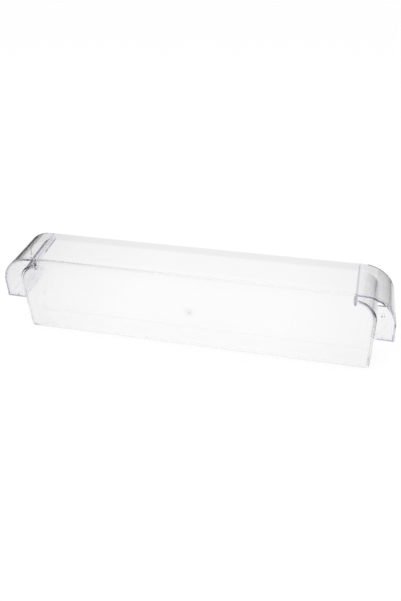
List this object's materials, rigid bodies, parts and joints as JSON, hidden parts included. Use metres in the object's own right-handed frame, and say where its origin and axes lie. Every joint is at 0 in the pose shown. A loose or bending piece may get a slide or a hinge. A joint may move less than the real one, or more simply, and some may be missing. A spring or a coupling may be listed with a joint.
{
  "type": "fridge door shelf",
  "caption": "Clear moulded door shelf for a fridge: a shallow trough whose front wall runs on into round wings with a hanging socket inside each.",
  "frame": {"origin": "under the middle of the part's box, with the part lying on its back wall", "axes": "+X along the door, +Y towards the open top of the trough (up when it hangs in the door), +Z from the door side to the front wall"},
  "size_m": [0.4384, 0.0564, 0.0987],
  "materials": {
    "clear_polystyrene": "polished moulding, clear with a faint violet tint at its edges"
  },
  "bodies": {
    "root": {"door_shelf": "clear_polystyrene"}
  },
  "joints": []
}
